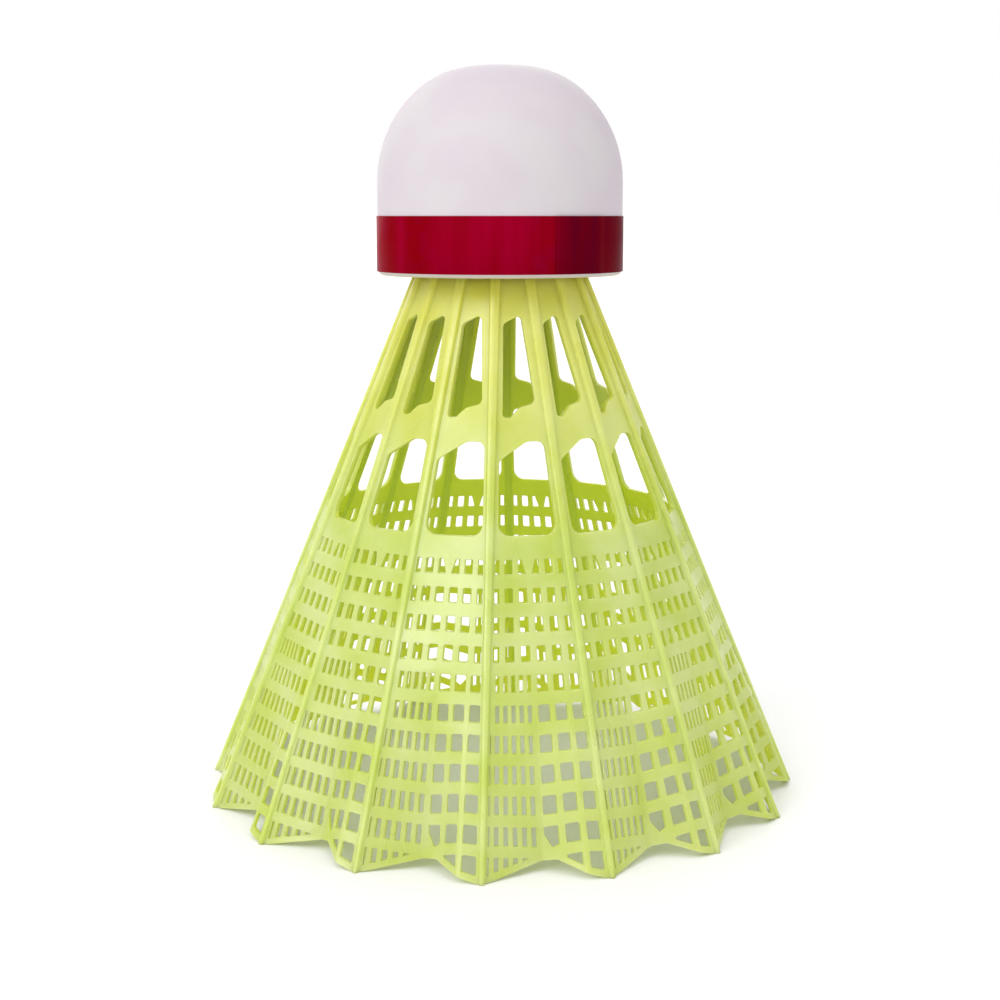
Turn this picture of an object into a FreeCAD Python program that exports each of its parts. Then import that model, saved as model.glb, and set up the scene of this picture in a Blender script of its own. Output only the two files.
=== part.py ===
import FreeCAD, Part
import os
import math
import Sketcher

# Badminton shuttlecock with a moulded nylon skirt, standing nose up on its sixteen skirt tips.
# Millimetres. The axis is Z, the tips touch the plane z = 0, and one rib points along -Y.

Vector = FreeCAD.Vector
DOCUMENT = FreeCAD.newDocument("shuttlecock")
UP = Vector(0, 0, 1)
ORIGIN = Vector(0, 0, 0)
RIDGES = (1, 2)

# ---------------------------------------------------------------------------------------------
# Sizes. Each line is a name, a value or a formula of other names, and what it measures.
# ---------------------------------------------------------------------------------------------
SIZES = [
    ("total_height", 79.0, "skirt tips to nose"),
    ("head_radius", 13.25, "outside of the head covering"),
    ("head_base", 56.8, "underside of the head above the tips"),
    ("cover_thickness", 0.45, "coated skin over the cork"),
    ("cover_edge_round", 0.6, "rounding of the lower edge of the head"),
    ("hem_radius", 10.1, "inner edge of the skin tucked under the head"),
    ("flank_drop", 12.3, "nose down to where the side becomes straight"),
    ("flank_radius", 12.9, "profile radius low on the dome"),
    ("shoulder_radius", 9.8, "profile radius at the shoulder of the dome"),
    ("crown_radius", 25.5, "profile radius on top of the dome"),
    ("band_base", 57.2, "lower edge of the coloured band"),
    ("band_width", 5.9, "height of the coloured band"),
    ("band_film", 0.12, "thickness of one layer of band film"),
    ("band_lap_start", 27.0, "angle of the exposed end of the band, from the front"),
    ("band_lap_angle", 27.0, "angle over which the two ends lie on each other"),
    ("plug_radius", 7.2, "moulded plug of the skirt, outside"),
    ("plug_wall", 0.9, "wall and end thickness of the plug"),
    ("plug_length", 8.2, "plug above the underside of the cork"),
    ("plug_bevel", 0.6, "bevel on the end of the plug"),
    ("ridge_rise", 0.1, "retaining ridges standing proud of the plug"),
    ("ridge_half", 0.35, "half the flat width of a retaining ridge"),
    ("ridge_slope", 0.3, "length of the slope on each side of a ridge"),
    ("ridge_pitch", 2.5, "spacing of the retaining ridges"),
    ("glue_film", 0.15, "adhesive between plug and cork"),
    ("gate_radius", 1.4, "moulding gate mark inside the plug"),
    ("gate_height", 0.35, "how far the gate mark stands off"),
    ("seat_radius", 8.6, "shoulder ring of the skirt against the cork"),
    ("seat_depth", 1.9, "thickness of the shoulder ring"),
    ("collar_radius", 9.5, "rib crests level with the underside of the head"),
    ("tip_radius", 33.0, "rib crests at the tips"),
    ("rib_count", 16, "ribs around the skirt"),
    ("rise_top", 0.42, "rib crest above the wall at the collar"),
    ("rise_tip", 0.25, "rib crest above the wall at the tips"),
    ("keel_top", 0.4, "how far a rib stands inside the wall at the collar"),
    ("keel_tip", 0.05, "how far a rib stands inside the wall at the tips"),
    ("crest_half_top", 0.52, "half width of the crest at the collar"),
    ("crest_half_tip", 0.27, "half width of the crest at the tips"),
    ("rib_draft", 0.12, "how much wider a rib gets on each side for each mm inward"),
    ("wall_top", 0.78, "wall thickness at the collar, measured outward"),
    ("wall_tip", 0.4, "wall thickness at the tips, measured outward"),
    ("pleat_top", 18.5, "height where the pleat between two ribs begins"),
    ("valley_place", 0.487, "place of the valley of the pleat, as a fraction from rib to rib"),
    ("valley_depth", 2.2, "depth of the valley at the rim"),
    ("ridge_place", 0.815, "place of the ridge of the pleat"),
    ("ridge_height", 0.5, "how far the ridge stands out at the rim"),
    ("row_sag", 0.55, "how far the rows dip for each mm of the pleat's depth"),
    ("row_top", 29.15, "top of the first row of mesh holes"),
    ("row_pitch", 2.68, "spacing of the rows"),
    ("row_height_top", 1.04, "height that a mesh hole at the cage's top would have"),
    ("row_height_tip", 1.77, "height that a mesh hole at the tips would have"),
    ("rim_border", 0.62, "solid border along the rim"),
    ("even_rows", 4, "rows of evenly spaced holes below the lower windows"),
    ("even_count", 4, "evenly spaced holes in a row, between the two beside the ribs"),
    ("even_first", 0.243, "middle of the first even hole, as a fraction from rib to rib"),
    ("even_pitch", 0.167, "spacing of the even holes"),
    ("even_half", 0.048, "half width of an even hole"),
    ("outer_count", 2, "holes beside the ribs in those rows"),
    ("outer_first", 0.093, "middle of the hole beside the first rib"),
    ("outer_pitch", 0.81, "spacing of the two holes beside the ribs"),
    ("outer_half", 0.036, "half width of the holes beside the ribs"),
    ("pleated_rows", 7, "rows with narrow slots and wide holes, down to the rim"),
    ("slot_count", 6, "narrow slots in a row"),
    ("slot_first", 0.033, "middle of the first slot"),
    ("slot_pitch", 0.08, "spacing of the slots"),
    ("slot_half", 0.019, "half width of a slot"),
    ("wide_count", 3, "wide holes in a row"),
    ("wide_first", 0.57, "middle of the first wide hole"),
    ("wide_pitch", 0.1635, "spacing of the wide holes"),
    ("wide_half", 0.054, "half width of a wide hole"),
    ("corner_width", 0.06, "cut-off corner of the wide hole above the valley, as a fraction"),
    ("corner_height", 1.1, "height of that cut-off corner"),
    ("core_radius", "=head_radius - cover_thickness", "cork under the skin"),
    ("core_base", "=head_base + cover_thickness", "underside of the cork"),
    ("core_top", "=total_height - cover_thickness", "top of the cork"),
    ("flank_base", "=total_height - flank_drop", "where the straight side ends"),
    ("edge_radius", "=head_radius - cover_edge_round", "where the lower rounding starts"),
    ("edge_height", "=head_base + cover_edge_round", "where the lower rounding ends"),
    ("crown_centre", "=total_height - crown_radius", "centre height of the crown arc"),
    ("flank_centre", "=head_radius - flank_radius", "centre distance of the flank arc"),
    ("band_radius", "=head_radius + band_film", "outside of the band"),
    ("lap_radius", "=band_radius + band_film", "outside of the overlapping end"),
    ("plug_top", "=core_base + plug_length", "end of the plug"),
    ("plug_bore", "=plug_radius - plug_wall", "hollow of the plug"),
    ("plug_ceiling", "=plug_top - plug_wall", "inner end face of the plug"),
    ("gate_face", "=plug_ceiling - gate_height", "face of the gate mark"),
    ("bevel_radius", "=plug_radius - plug_bevel", "end face of the plug"),
    ("bevel_height", "=plug_top - plug_bevel", "start of the bevel"),
    ("ridge_radius", "=plug_radius + ridge_rise", "top of the ridges"),
    ("seat_base", "=core_base - seat_depth", "lower face of the shoulder ring"),
    ("bore_radius", "=plug_radius + glue_film", "blind bore in the cork"),
    ("bore_depth", "=plug_length + glue_film", "depth of the blind bore"),
    ("bore_top", "=core_base + bore_depth", "end of the blind bore"),
]
for number in RIDGES:
    middle = "=core_base + ridge_pitch * %d" % number
    SIZES.append(("ridge_foot_low_%d" % number, middle + " - ridge_half - ridge_slope", "ridge starts"))
    SIZES.append(("ridge_edge_low_%d" % number, middle + " - ridge_half", "ridge at full rise"))
    SIZES.append(("ridge_edge_high_%d" % number, middle + " + ridge_half", "ridge begins to fall"))
    SIZES.append(("ridge_foot_high_%d" % number, middle + " + ridge_half + ridge_slope", "ridge ends"))


def make_sheet():
    sheet = DOCUMENT.addObject("Spreadsheet::Sheet", "sizes")
    for row, (name, value, meaning) in enumerate(SIZES, start=1):
        sheet.set("A%d" % row, name)
        sheet.set("B%d" % row, str(value))
        sheet.set("C%d" % row, meaning)
        sheet.setAlias("B%d" % row, name)
    DOCUMENT.recompute()
    return sheet


SHEET = make_sheet()


def size(name):
    return float(getattr(SHEET, name))


# ---------------------------------------------------------------------------------------------
# Bodies and sketches
# ---------------------------------------------------------------------------------------------
def new_body(label):
    body = DOCUMENT.addObject("PartDesign::Body", label)
    body.Label = label
    return body


def new_sketch(body, name, role, lift=None):
    plane = next(item for item in body.Origin.OriginFeatures if item.Role == role)
    sketch = body.newObject("Sketcher::SketchObject", name)
    sketch.AttachmentSupport = (plane, [""])
    sketch.MapMode = "FlatFace"
    if lift:
        sketch.setExpression("AttachmentOffset.Base.z", "sizes." + lift)
    DOCUMENT.recompute()
    return sketch


def bind(sketch, constraint, name):
    index = sketch.addConstraint(constraint)
    sketch.setExpression("Constraints[%d]" % index, "sizes." + name)


def pin_point(sketch, line, end, corner):
    # A corner is a pair of size names, distance from the axis and height. None means on the axis.
    across, height = corner
    if across is None:
        sketch.addConstraint(Sketcher.Constraint("PointOnObject", line, end, -2))
    else:
        bind(sketch, Sketcher.Constraint("DistanceX", -1, 1, line, end, size(across)), across)
    bind(sketch, Sketcher.Constraint("DistanceY", -1, 1, line, end, size(height)), height)


def corner_point(corner):
    across, height = corner
    return Vector(size(across) if across else 0.0, size(height), 0)


def add_lines(sketch, corners):
    # Straight lines through the corners, in order. Returns the numbers of the lines.
    lines = []
    for first, second in zip(corners, corners[1:]):
        line = sketch.addGeometry(Part.LineSegment(corner_point(first), corner_point(second)), False)
        if lines:
            sketch.addConstraint(Sketcher.Constraint("Coincident", lines[-1], 2, line, 1))
        pin_point(sketch, line, 1, first)
        lines.append(line)
    return lines


def add_closed_lines(sketch, corners):
    lines = add_lines(sketch, corners + corners[:1])
    sketch.addConstraint(Sketcher.Constraint("Coincident", lines[-1], 2, lines[0], 1))
    return lines


def revolve(body, sketch, name):
    feature = body.newObject("PartDesign::Revolution", name)
    feature.Profile = sketch
    feature.ReferenceAxis = (sketch, ["V_Axis"])
    feature.Angle = 360
    sketch.Visibility = False
    body.Tip = feature
    DOCUMENT.recompute()
    return feature


def arc(centre, radius, start, end):
    circle = Part.Circle(centre, UP, radius)
    return Part.ArcOfCircle(circle, start, end)


def heading(start, end):
    return math.atan2(end.y - start.y, end.x - start.x)


def shoulder_centre():
    # Centre of the arc that touches the crown arc and the flank arc from inside.
    crown = Vector(0, size("crown_centre"), 0)
    flank = Vector(size("flank_centre"), size("flank_base"), 0)
    from_crown = size("crown_radius") - size("shoulder_radius")
    from_flank = size("flank_radius") - size("shoulder_radius")
    between = flank - crown
    span = between.Length
    along = (from_crown ** 2 - from_flank ** 2 + span ** 2) / (2 * span)
    aside = math.sqrt(max(from_crown ** 2 - along ** 2, 0.0))
    direction = between / span
    sideways = Vector(-direction.y, direction.x, 0)
    base = crown + direction * along
    choices = (base + sideways * aside, base - sideways * aside)
    return max(choices, key=lambda point: point.x)


def add_dome(sketch, inset_name=None):
    # Flank, shoulder and crown arcs of the head, or of the cork under a skin of the given thickness.
    inset = size(inset_name) if inset_name else 0.0
    less = " - sizes." + inset_name if inset_name else ""
    crown_centre = Vector(0, size("crown_centre"), 0)
    flank_centre = Vector(size("flank_centre"), size("flank_base"), 0)
    middle = shoulder_centre()
    low_angle = heading(flank_centre, middle)
    high_angle = heading(crown_centre, middle)
    flank = sketch.addGeometry(arc(flank_centre, size("flank_radius") - inset, 0, low_angle), False)
    shoulder = sketch.addGeometry(
        arc(middle, size("shoulder_radius") - inset, low_angle, high_angle), False)
    crown = sketch.addGeometry(
        arc(crown_centre, size("crown_radius") - inset, high_angle, math.pi / 2), False)
    pin_point(sketch, flank, 3, ("flank_centre", "flank_base"))
    pin_point(sketch, crown, 3, (None, "crown_centre"))
    sketch.addConstraint(Sketcher.Constraint("Tangent", flank, 2, shoulder, 1))
    sketch.addConstraint(Sketcher.Constraint("Tangent", shoulder, 2, crown, 1))
    for item, name in ((shoulder, "shoulder_radius"), (crown, "crown_radius")):
        start = Sketcher.Constraint("Radius", item, size(name) - inset)
        bind(sketch, start, name + less)
    sketch.addConstraint(Sketcher.Constraint("PointOnObject", crown, 2, -2))
    return flank, crown


# ---------------------------------------------------------------------------------------------
# Head: cork core, skin and coloured band
# ---------------------------------------------------------------------------------------------
def make_cork_core():
    body = new_body("cork_core")
    sketch = new_sketch(body, "core_profile", "XZ_Plane")
    lines = add_lines(sketch, [(None, "core_base"), ("core_radius", "core_base"),
                               ("core_radius", "flank_base")])
    flank, crown = add_dome(sketch, "cover_thickness")
    sketch.addConstraint(Sketcher.Constraint("Vertical", lines[-1]))
    sketch.addConstraint(Sketcher.Constraint("Tangent", lines[-1], 2, flank, 1))
    axis = sketch.addGeometry(Part.LineSegment(corner_point((None, "core_top")),
                                               corner_point((None, "core_base"))), False)
    sketch.addConstraint(Sketcher.Constraint("Coincident", crown, 2, axis, 1))
    sketch.addConstraint(Sketcher.Constraint("Coincident", axis, 2, lines[0], 1))
    revolve(body, sketch, "core_turned")
    return body


def cut_bore(body):
    # Blind bore for the plug, from the underside of the cork upward.
    sketch = new_sketch(body, "bore_circle", "XY_Plane", "core_base")
    circle = sketch.addGeometry(Part.Circle(ORIGIN, UP, size("bore_radius")), False)
    sketch.addConstraint(Sketcher.Constraint("Coincident", circle, 3, -1, 1))
    bind(sketch, Sketcher.Constraint("Radius", circle, size("bore_radius")), "bore_radius")
    pocket = body.newObject("PartDesign::Pocket", "core_bore")
    pocket.Profile = sketch
    pocket.Reversed = True
    pocket.Length = size("bore_depth")
    pocket.setExpression("Length", "sizes.bore_depth")
    sketch.Visibility = False
    body.Tip = pocket
    DOCUMENT.recompute()


def make_head_cover():
    body = new_body("head_cover")
    sketch = new_sketch(body, "cover_profile", "XZ_Plane")
    inner = add_lines(sketch, [("core_radius", "core_base"), ("hem_radius", "core_base"),
                               ("hem_radius", "head_base"), ("edge_radius", "head_base")])
    edge_centre = ("edge_radius", "edge_height")
    rounding = sketch.addGeometry(
        arc(corner_point(edge_centre), size("cover_edge_round"), -math.pi / 2, 0), False)
    sketch.addConstraint(Sketcher.Constraint("Tangent", inner[-1], 2, rounding, 1))
    pin_point(sketch, rounding, 3, edge_centre)
    side = sketch.addGeometry(Part.LineSegment(corner_point(("head_radius", "edge_height")),
                                               corner_point(("head_radius", "flank_base"))), False)
    sketch.addConstraint(Sketcher.Constraint("Tangent", rounding, 2, side, 1))
    sketch.addConstraint(Sketcher.Constraint("Horizontal", inner[-1]))
    sketch.addConstraint(Sketcher.Constraint("Vertical", side))
    outer_flank, outer_crown = add_dome(sketch)
    sketch.addConstraint(Sketcher.Constraint("Tangent", side, 2, outer_flank, 1))
    inner_flank, inner_crown = add_dome(sketch, "cover_thickness")
    lining = sketch.addGeometry(Part.LineSegment(corner_point(("core_radius", "core_base")),
                                                 corner_point(("core_radius", "flank_base"))), False)
    sketch.addConstraint(Sketcher.Constraint("Coincident", lining, 1, inner[0], 1))
    sketch.addConstraint(Sketcher.Constraint("Vertical", lining))
    sketch.addConstraint(Sketcher.Constraint("Tangent", lining, 2, inner_flank, 1))
    axis = sketch.addGeometry(Part.LineSegment(corner_point((None, "total_height")),
                                               corner_point((None, "core_top"))), False)
    sketch.addConstraint(Sketcher.Constraint("Coincident", outer_crown, 2, axis, 1))
    sketch.addConstraint(Sketcher.Constraint("Coincident", inner_crown, 2, axis, 2))
    revolve(body, sketch, "cover_turned")
    return body


def pad(body, sketch, name, length):
    feature = body.newObject("PartDesign::Pad", name)
    feature.Profile = sketch
    feature.Length = size(length)
    feature.setExpression("Length", "sizes." + length)
    sketch.Visibility = False
    body.Tip = feature
    DOCUMENT.recompute()


def make_speed_band():
    # One turn of film, with the second layer where its two ends lie on each other.
    body = new_body("speed_band")
    ring = new_sketch(body, "band_ring", "XY_Plane", "band_base")
    for name in ("head_radius", "band_radius"):
        circle = ring.addGeometry(Part.Circle(ORIGIN, UP, size(name)), False)
        ring.addConstraint(Sketcher.Constraint("Coincident", circle, 3, -1, 1))
        bind(ring, Sketcher.Constraint("Radius", circle, size(name)), name)
    pad(body, ring, "band_turn", "band_width")
    lap = new_sketch(body, "band_lap", "XY_Plane", "band_base")
    start = math.radians(size("band_lap_start") - 90)
    end = start + math.radians(size("band_lap_angle"))
    arcs = []
    for name in ("band_radius", "lap_radius"):
        item = lap.addGeometry(arc(ORIGIN, size(name), start, end), False)
        lap.addConstraint(Sketcher.Constraint("Coincident", item, 3, -1, 1))
        bind(lap, Sketcher.Constraint("Radius", item, size(name)), name)
        arcs.append(item)
    for point, angle in ((1, start), (2, end)):
        across = Vector(math.cos(angle), math.sin(angle), 0)
        line = lap.addGeometry(Part.LineSegment(across * size("band_radius"),
                                                across * size("lap_radius")), False)
        lap.addConstraint(Sketcher.Constraint("Coincident", arcs[0], point, line, 1))
        lap.addConstraint(Sketcher.Constraint("Coincident", arcs[1], point, line, 2))
        lap.addConstraint(Sketcher.Constraint("PointOnObject", -1, 1, line))
        turn = "sizes.band_lap_start - 90"
        if point == 2:
            turn += " + sizes.band_lap_angle"
        index = lap.addConstraint(Sketcher.Constraint("Angle", line, angle))
        lap.setExpression("Constraints[%d]" % index, "(" + turn + ") * 1 deg")
    pad(body, lap, "band_overlap", "band_width")
    return body


# ---------------------------------------------------------------------------------------------
# Plug of the skirt and the adhesive round it
# ---------------------------------------------------------------------------------------------
def plug_side():
    # Outside of the plug from the shoulder up to the middle of its end face.
    corners = [("plug_radius", "core_base")]
    for number in RIDGES:
        corners.append(("plug_radius", "ridge_foot_low_%d" % number))
        corners.append(("ridge_radius", "ridge_edge_low_%d" % number))
        corners.append(("ridge_radius", "ridge_edge_high_%d" % number))
        corners.append(("plug_radius", "ridge_foot_high_%d" % number))
    corners.append(("plug_radius", "bevel_height"))
    corners.append(("bevel_radius", "plug_top"))
    corners.append((None, "plug_top"))
    return corners


def make_plug():
    body = new_body("skirt_plug")
    sketch = new_sketch(body, "plug_profile", "XZ_Plane")
    inside = [(None, "gate_face"), ("gate_radius", "gate_face"), ("gate_radius", "plug_ceiling"),
              ("plug_bore", "plug_ceiling"), ("plug_bore", "seat_base"),
              ("seat_radius", "seat_base"), ("seat_radius", "core_base")]
    add_closed_lines(sketch, inside + plug_side())
    revolve(body, sketch, "plug_turned")
    return body


def make_plug_adhesive():
    body = new_body("plug_adhesive")
    sketch = new_sketch(body, "adhesive_profile", "XZ_Plane")
    outside = [(None, "bore_top"), ("bore_radius", "bore_top"), ("bore_radius", "core_base")]
    add_closed_lines(sketch, outside + plug_side())
    revolve(body, sketch, "adhesive_turned")
    return body


# ---------------------------------------------------------------------------------------------
# Cage of the skirt: one panel between two ribs is built, turned round the axis and sewn shut
# ---------------------------------------------------------------------------------------------
RIB_COUNT = int(size("rib_count"))
RIB_ANGLE = 2 * math.pi / RIB_COUNT
CAGE_TOP = size("core_base")
CUT_START = size("tip_radius")
ROW_COUNT = int(size("even_rows") + size("pleated_rows"))
LAST_FULL_ROW = ROW_COUNT - 2

# Openings are drawn on the flat panel: a place from 0 (one rib) to 1 (the next), a height and, for
# the windows, how round the corner is.
UPPER_WINDOW = [(0.185, 42.75, 0.35), (0.33, 42.8, 0.4), (0.5, 43.75, 0.8), (0.8, 44.2, 0.6),
                (0.67, 53.05, 0.45), (0.215, 52.1, 0.6)]
LOWER_WINDOW = [(0.115, 31.35, 1.1), (0.9, 31.35, 1.1), (0.88, 40.45, 0.8), (0.58, 40.45, 1.5),
                (0.125, 38.6, 0.6)]
RIM = [(0.035, 0.0), (0.475, 1.08), (0.605, 1.45), (0.97, 0.0)]
BELOW_RIM = -4.0
BESIDE_PANEL = 0.3
SMALLEST_HOLE = 0.2
PINCHED = 0.08
SEAM_TOLERANCE = 0.0005


def taper(name, height):
    # Size at a height, for a size that is given at the collar (top) and at the tips (tip).
    tip = size(name + "_tip")
    return tip + (size(name + "_top") - tip) * height / CAGE_TOP


def crest_distance(height):
    slope = (size("tip_radius") - size("collar_radius")) / size("head_base")
    return size("tip_radius") - slope * height


def wall_distance(height):
    return crest_distance(height) - taper("rise", height)


def inner_distance(height):
    return wall_distance(height) - taper("wall", height)


def keel_distance(height):
    return inner_distance(height) - taper("keel", height)


def outward(turns):
    # Level direction away from the axis, counted in rib spacings from the front rib.
    angle = turns * RIB_ANGLE
    return Vector(math.sin(angle), -math.cos(angle), 0)


def panel_point(place, height, distance=wall_distance, inset=0.0):
    radius = distance(height)
    left = outward(0) * radius
    right = outward(1) * radius
    point = left + (right - left) * place
    return point - outward(0.5) * inset + UP * height


def between(corners, place):
    # Value at a place on the line through the corners, each a place and a value.
    for (left, low), (right, high) in zip(corners, corners[1:]):
        if left <= place <= right:
            return low + (high - low) * (place - left) / (right - left)
    return corners[-1][1]


def pleat_depth(place, height):
    # How far the pleat lies inside the flat panel. Its ridge lies outside it.
    section = [(0.0, 0.0), (size("valley_place"), size("valley_depth")),
               (size("ridge_place"), -size("ridge_height")), (1.0, 0.0)]
    return between(section, place) * max(1 - height / size("pleat_top"), 0.0)


def sagged(place, height):
    # The rows dip where the pleat goes inward.
    return height - size("row_sag") * pleat_depth(place, height)


def face(points):
    return Part.Face(Part.makePolygon(points + points[:1]))


def solid_from(faces):
    shell = Part.makeShell(faces)
    solid = Part.makeSolid(shell)
    if solid.Volume < 0:
        solid.reverse()
    return solid


def pleated_skin(distance):
    # Corners of the outside or the inside of the wall, by name.
    valley = size("valley_place")
    ridge = size("ridge_place")
    top = size("pleat_top")
    return {
        "left_top": panel_point(0, CAGE_TOP, distance),
        "right_top": panel_point(1, CAGE_TOP, distance),
        "left_tip": panel_point(0, 0, distance),
        "right_tip": panel_point(1, 0, distance),
        "valley_top": panel_point(valley, top, distance),
        "ridge_top": panel_point(ridge, top, distance),
        "valley_tip": panel_point(valley, 0, distance, size("valley_depth")),
        "ridge_tip": panel_point(ridge, 0, distance, -size("ridge_height")),
    }


def panel_wall():
    # Flat wall between two ribs that folds into a pleat towards the rim, with its thickness.
    outer = pleated_skin(wall_distance)
    inner = pleated_skin(inner_distance)
    facets = [("left_top", "left_tip", "valley_top", "ridge_top", "right_tip", "right_top"),
              ("left_tip", "valley_tip", "valley_top"),
              ("valley_tip", "ridge_top", "valley_top"),
              ("valley_tip", "ridge_tip", "ridge_top"),
              ("ridge_tip", "right_tip", "ridge_top")]
    faces = []
    for skin in (outer, inner):
        for names in facets:
            faces.append(face([skin[name] for name in names]))
    edges = [("left_top", "right_top"), ("left_top", "left_tip"), ("right_top", "right_tip"),
             ("left_tip", "valley_tip"), ("valley_tip", "ridge_tip"), ("ridge_tip", "right_tip")]
    for first, second in edges:
        faces.append(face([outer[first], outer[second], inner[second], inner[first]]))
    return solid_from(faces)


def rib_half(turns, side):
    # Half of a rib: crest, sloping side and a keel that stands inside the wall.
    radial = outward(turns)
    across = Vector(-radial.y, radial.x, 0) * side
    rings = []
    for height in (CAGE_TOP, 0.0):
        crest = crest_distance(height)
        keel = keel_distance(height)
        crest_half = taper("crest_half", height)
        keel_half = crest_half + size("rib_draft") * (crest - keel)
        level = UP * height
        rings.append([level + radial * crest, level + radial * crest + across * crest_half,
                      level + radial * keel + across * keel_half, level + radial * keel])
    top, tip = rings
    faces = [face(top), face(tip)]
    for index in range(len(top)):
        following = (index + 1) % len(top)
        faces.append(face([top[index], top[following], tip[following], tip[index]]))
    return solid_from(faces)


def rounded_outline(points, radii):
    # Closed outline through the points with every corner rounded by its own radius.
    edges = []
    joints = []
    count = len(points)
    for index, (point, radius) in enumerate(zip(points, radii)):
        to_last = (points[index - 1] - point).normalize()
        to_next = (points[(index + 1) % count] - point).normalize()
        half = to_last.getAngle(to_next) / 2
        reach = radius / math.tan(half)
        bisector = (to_last + to_next).normalize()
        start = point + to_last * reach
        end = point + to_next * reach
        middle = point + bisector * (radius / math.sin(half) - radius)
        joints.append((start, end))
        edges.append(Part.Arc(start, middle, end).toShape())
    for index in range(count):
        edges.append(Part.LineSegment(joints[index][1], joints[(index + 1) % count][0]).toShape())
    return Part.Wire(Part.__sortEdges__(edges))


def cut_point(place, height):
    # The corner as seen on an upright plane outside the panel.
    aside = panel_point(place, height) - panel_point(0.5, height)
    return outward(0.5) * CUT_START + aside + UP * height


def punch(outline):
    # The tool goes level from outside the panel to the axis.
    return Part.Face(outline).extrude(outward(0.5) * -CUT_START)


def window(corners):
    points = [cut_point(place, height) for place, height, rounding in corners]
    return punch(rounded_outline(points, [rounding for place, height, rounding in corners]))


def hole(corners):
    points = [cut_point(place, height) for place, height in corners]
    return punch(Part.makePolygon(points + points[:1]))


def lowest(place):
    # Lowest that a hole may reach, clear of the rim.
    return between([(0.0, 0.0)] + RIM + [(1.0, 0.0)], place) + size("rim_border")


def hole_corners(left, right, top, bottom):
    # Four corners of a mesh hole, kept clear of the rim. Three where the rim pinches it off.
    high_left = sagged(left, top)
    high_right = sagged(right, top)
    low_left = max(sagged(left, bottom), lowest(left))
    low_right = max(sagged(right, bottom), lowest(right))
    if max(high_left - low_left, high_right - low_right) < SMALLEST_HOLE:
        return []
    corners = [(left, low_left), (right, low_right), (right, high_right), (left, high_left)]
    if high_left - low_left < PINCHED:
        corners = [(left, high_left), (right, low_right), (right, high_right)]
    if high_right - low_right < PINCHED:
        corners = [(left, low_left), (right, high_right), (left, high_left)]
    return corners


def evenly(kind):
    # Middles and half width of a run of holes.
    count = int(size(kind + "_count"))
    half = size(kind + "_half")
    return [(size(kind + "_first") + size(kind + "_pitch") * index, half) for index in range(count)]


def row_spans(row):
    if row < int(size("even_rows")):
        return sorted(evenly("even") + evenly("outer"))
    return evenly("slot") + evenly("wide")


def rib_reach(height):
    # Share of the panel that a rib covers at a height.
    depth = crest_distance(height) - keel_distance(height)
    half = taper("crest_half", height) + size("rib_draft") * depth
    return half / (2 * wall_distance(height) * math.sin(RIB_ANGLE / 2))


def row_holes(row):
    top = size("row_top") - row * size("row_pitch")
    bottom = top - taper("row_height", top)
    clear = rib_reach(top)
    holes = []
    for middle, half in row_spans(row):
        left = max(middle - half, clear)
        right = min(middle + half, 1 - clear)
        holes.append(hole_corners(left, right, top, bottom))
    if row == 0:
        add_gusset(holes)
    if row == LAST_FULL_ROW:
        cut_corner(holes[int(size("slot_count"))])
    return [corners for corners in holes if corners]


def add_gusset(holes):
    # The two middle holes of the first row lean away from the gusset between them.
    middle = len(holes) // 2
    left = holes[middle - 1]
    right = holes[middle]
    left[2] = (left[2][0] - size("even_half"), left[2][1])
    right[3] = (right[3][0] + size("even_half"), right[3][1])


def cut_corner(corners):
    # The wide hole right above the valley of the rim loses its lower corner.
    left, bottom = corners[0]
    corners[0:1] = [(left, bottom + size("corner_height")), (left + size("corner_width"), bottom)]


def rim_waste():
    left = -BESIDE_PANEL
    right = 1 + BESIDE_PANEL
    return [(left, BELOW_RIM), (right, BELOW_RIM), (right, 0.0)] + RIM[::-1] + [(left, 0.0)]


def on_seam(item):
    # True for the cut faces where one panel meets the next, in the middle of a rib.
    for turns in (0, 1):
        normal = outward(turns).cross(UP)
        if all(abs(vertex.Point.dot(normal)) < SEAM_TOLERANCE for vertex in item.Vertexes):
            return True
    return False


def make_panel():
    panel = panel_wall().fuse([rib_half(0, 1), rib_half(1, -1)])
    punches = [window(UPPER_WINDOW), window(LOWER_WINDOW), hole(rim_waste())]
    for row in range(ROW_COUNT):
        punches += [hole(corners) for corners in row_holes(row)]
    return panel.cut(punches)


def make_cage():
    faces = [item for item in make_panel().Faces if not on_seam(item)]
    panel = Part.makeCompound(faces)
    turned = []
    for index in range(RIB_COUNT):
        copy = panel.copy()
        copy.rotate(ORIGIN, UP, math.degrees(RIB_ANGLE) * index)
        turned += copy.Faces
    shell = Part.makeShell(turned)
    shell.sewShape(SEAM_TOLERANCE)
    shell = shell.Shells[0]
    cage = Part.makeSolid(shell)
    if cage.Volume < 0:
        cage.reverse()
    return cage.removeSplitter()


def make_skirt(plug):
    # The nylon moulding: cage and plug in one piece.
    cage = DOCUMENT.addObject("Part::Feature", "skirt_cage")
    cage.Shape = make_cage()
    cage.Placement = FreeCAD.Placement()
    moulding = DOCUMENT.addObject("Part::Fuse", "skirt")
    moulding.Label = "skirt"
    moulding.Base = cage
    moulding.Tool = plug
    moulding.Refine = True
    DOCUMENT.recompute()
    return moulding


# ---------------------------------------------------------------------------------------------
# Assembly and export
# ---------------------------------------------------------------------------------------------
def check_document():
    DOCUMENT.recompute()
    for item in DOCUMENT.Objects:
        for fault in ("Invalid", "Error"):
            if fault in item.State:
                raise RuntimeError(item.Name + " is " + fault)


def export(item):
    shape = item.Shape
    if shape.isNull() or not shape.isValid() or len(shape.Solids) != 1:
        raise RuntimeError(item.Label + " is not one valid solid")
    shape.exportStep("parts/" + item.Label + ".step")


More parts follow.
